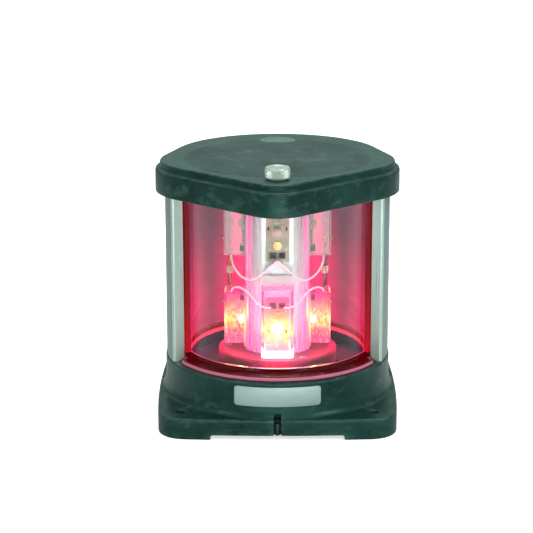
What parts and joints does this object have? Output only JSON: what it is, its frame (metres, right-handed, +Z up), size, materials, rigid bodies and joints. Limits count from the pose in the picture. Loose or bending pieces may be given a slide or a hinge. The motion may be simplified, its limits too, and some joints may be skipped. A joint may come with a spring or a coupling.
{
  "type": "navigation light",
  "caption": "Ship navigation light: square base, clear drum lens with metal rear shell, hinged lid held by a knurled screw, and a two-tier LED module inside.",
  "frame": {"origin": "centre of the square of four deck bolts, on the surface the feet stand on", "axes": "+Z up, -Y the lit front with the nameplate, +Y the cable entry, +X to the right seen from the front"},
  "size_m": [0.2314, 0.2567, 0.254],
  "materials": {
    "moulded_plastic": "dark green-black moulded glass-filled plastic, satin",
    "cover_plastic": "dark moulded plastic",
    "black_rubber": "black seal rubber",
    "red_seal": "dark red silicone strip",
    "steel": "stainless steel",
    "polished_steel": "bright turned stainless steel",
    "nameplate_metal": "thin satin metal plate, blank",
    "pin_grey": "dull grey pin",
    "white_plastic": "white plastic",
    "driver_case": "plain aluminium case",
    "brass": "brass",
    "gland_plastic": "black polyamide",
    "lens_acrylic": "clear drum lens with a light red tint",
    "shell_aluminium": "bright rolled aluminium",
    "post_aluminium": "bright extruded aluminium",
    "plug_plastic": "grey-green smooth plastic disc",
    "disc_metal": "painted grey aluminium disc",
    "heat_sink_aluminium": "satin extruded aluminium",
    "board": "cream coated circuit board",
    "led_white": "cream silicone LED dome",
    "led_red": "red LED dome, lit",
    "connector_black": "black connector",
    "clear_acrylic": "clear acrylic",
    "wire_white": "white insulation",
    "wire_orange": "orange and grey insulation",
    "ferrite": "pale sleeve"
  },
  "bodies": {
    "lantern_body": {"base_feet": "moulded_plastic", "base_flange": "moulded_plastic", "base_drum": "moulded_plastic", "base_deck": "moulded_plastic", "base_cover": "cover_plastic", "base_cover_seal": "black_rubber", "base_cover_screws": "steel", "nameplate": "nameplate_metal", "centre_mark_pin": "pin_grey", "terminal_block": "white_plastic", "led_driver": "driver_case", "earth_screw": "brass", "gland_body": "gland_plastic", "gland_nut": "gland_plastic", "gland_seal": "black_rubber", "gland_locknut": "gland_plastic", "lens": "lens_acrylic", "lens_foot": "lens_acrylic", "lens_base_seal": "black_rubber", "lens_top_seal": "black_rubber", "lens_side_seals": "red_seal", "rear_shell": "shell_aluminium", "post_left": "post_aluminium", "post_right": "post_aluminium", "tie_rods": "steel", "tie_nuts": "steel", "top_frame": "cover_plastic", "threaded_bush": "brass", "hinge_bracket": "steel", "hinge_screws": "steel", "hinge_pin": "polished_steel", "module_disc": "disc_metal", "disc_screws": "steel", "heat_sink": "heat_sink_aluminium", "upper_boards": "board", "lower_boards": "board", "upper_leds": "led_white", "lower_leds": "led_red", "board_screws": "brass", "board_connectors": "connector_black", "cover_front_lower": "clear_acrylic", "cover_left_lower": "clear_acrylic", "cover_right_lower": "clear_acrylic", "cover_left_upper": "clear_acrylic", "cover_right_upper": "clear_acrylic", "cover_screws": "brass", "module_band": "white_plastic", "tent_reflector": "white_plastic", "link_wires": "wire_white", "supply_wires": "wire_orange", "wire_ferrites": "ferrite"},
    "lid_body": {"lid": "moulded_plastic", "lid_rim": "moulded_plastic", "lid_seal_ring": "moulded_plastic", "lid_gasket": "black_rubber", "lid_plug": "plug_plastic", "hinge_leaf": "steel"},
    "washer_body": {"screw_washer": "steel"},
    "screw_body": {"thumb_screw": "polished_steel", "retaining_ring": "steel"}
  },
  "joints": [
    {"name": "lid_hinge", "type": "hinge", "parent": "lantern_body", "child": "lid_body", "pos_m": [0, 0.1165, 0.2215], "axis": [-1, 0, 0], "range_deg": [0, 90]},
    {"name": "screw_lift", "type": "slide", "parent": "lid_body", "child": "washer_body", "axis": [0, 0, 1], "range_m": [0, 0.0086]},
    {"name": "screw_turn", "type": "hinge", "parent": "washer_body", "child": "screw_body", "pos_m": [0, -0.097, 0.2437], "axis": [0, 0, 1], "range_deg": [0, 3060]}
  ],
  "couplings": [
    {"joint": "screw_lift", "follows": "screw_turn", "m_per_rad": 0.00015915}
  ]
}
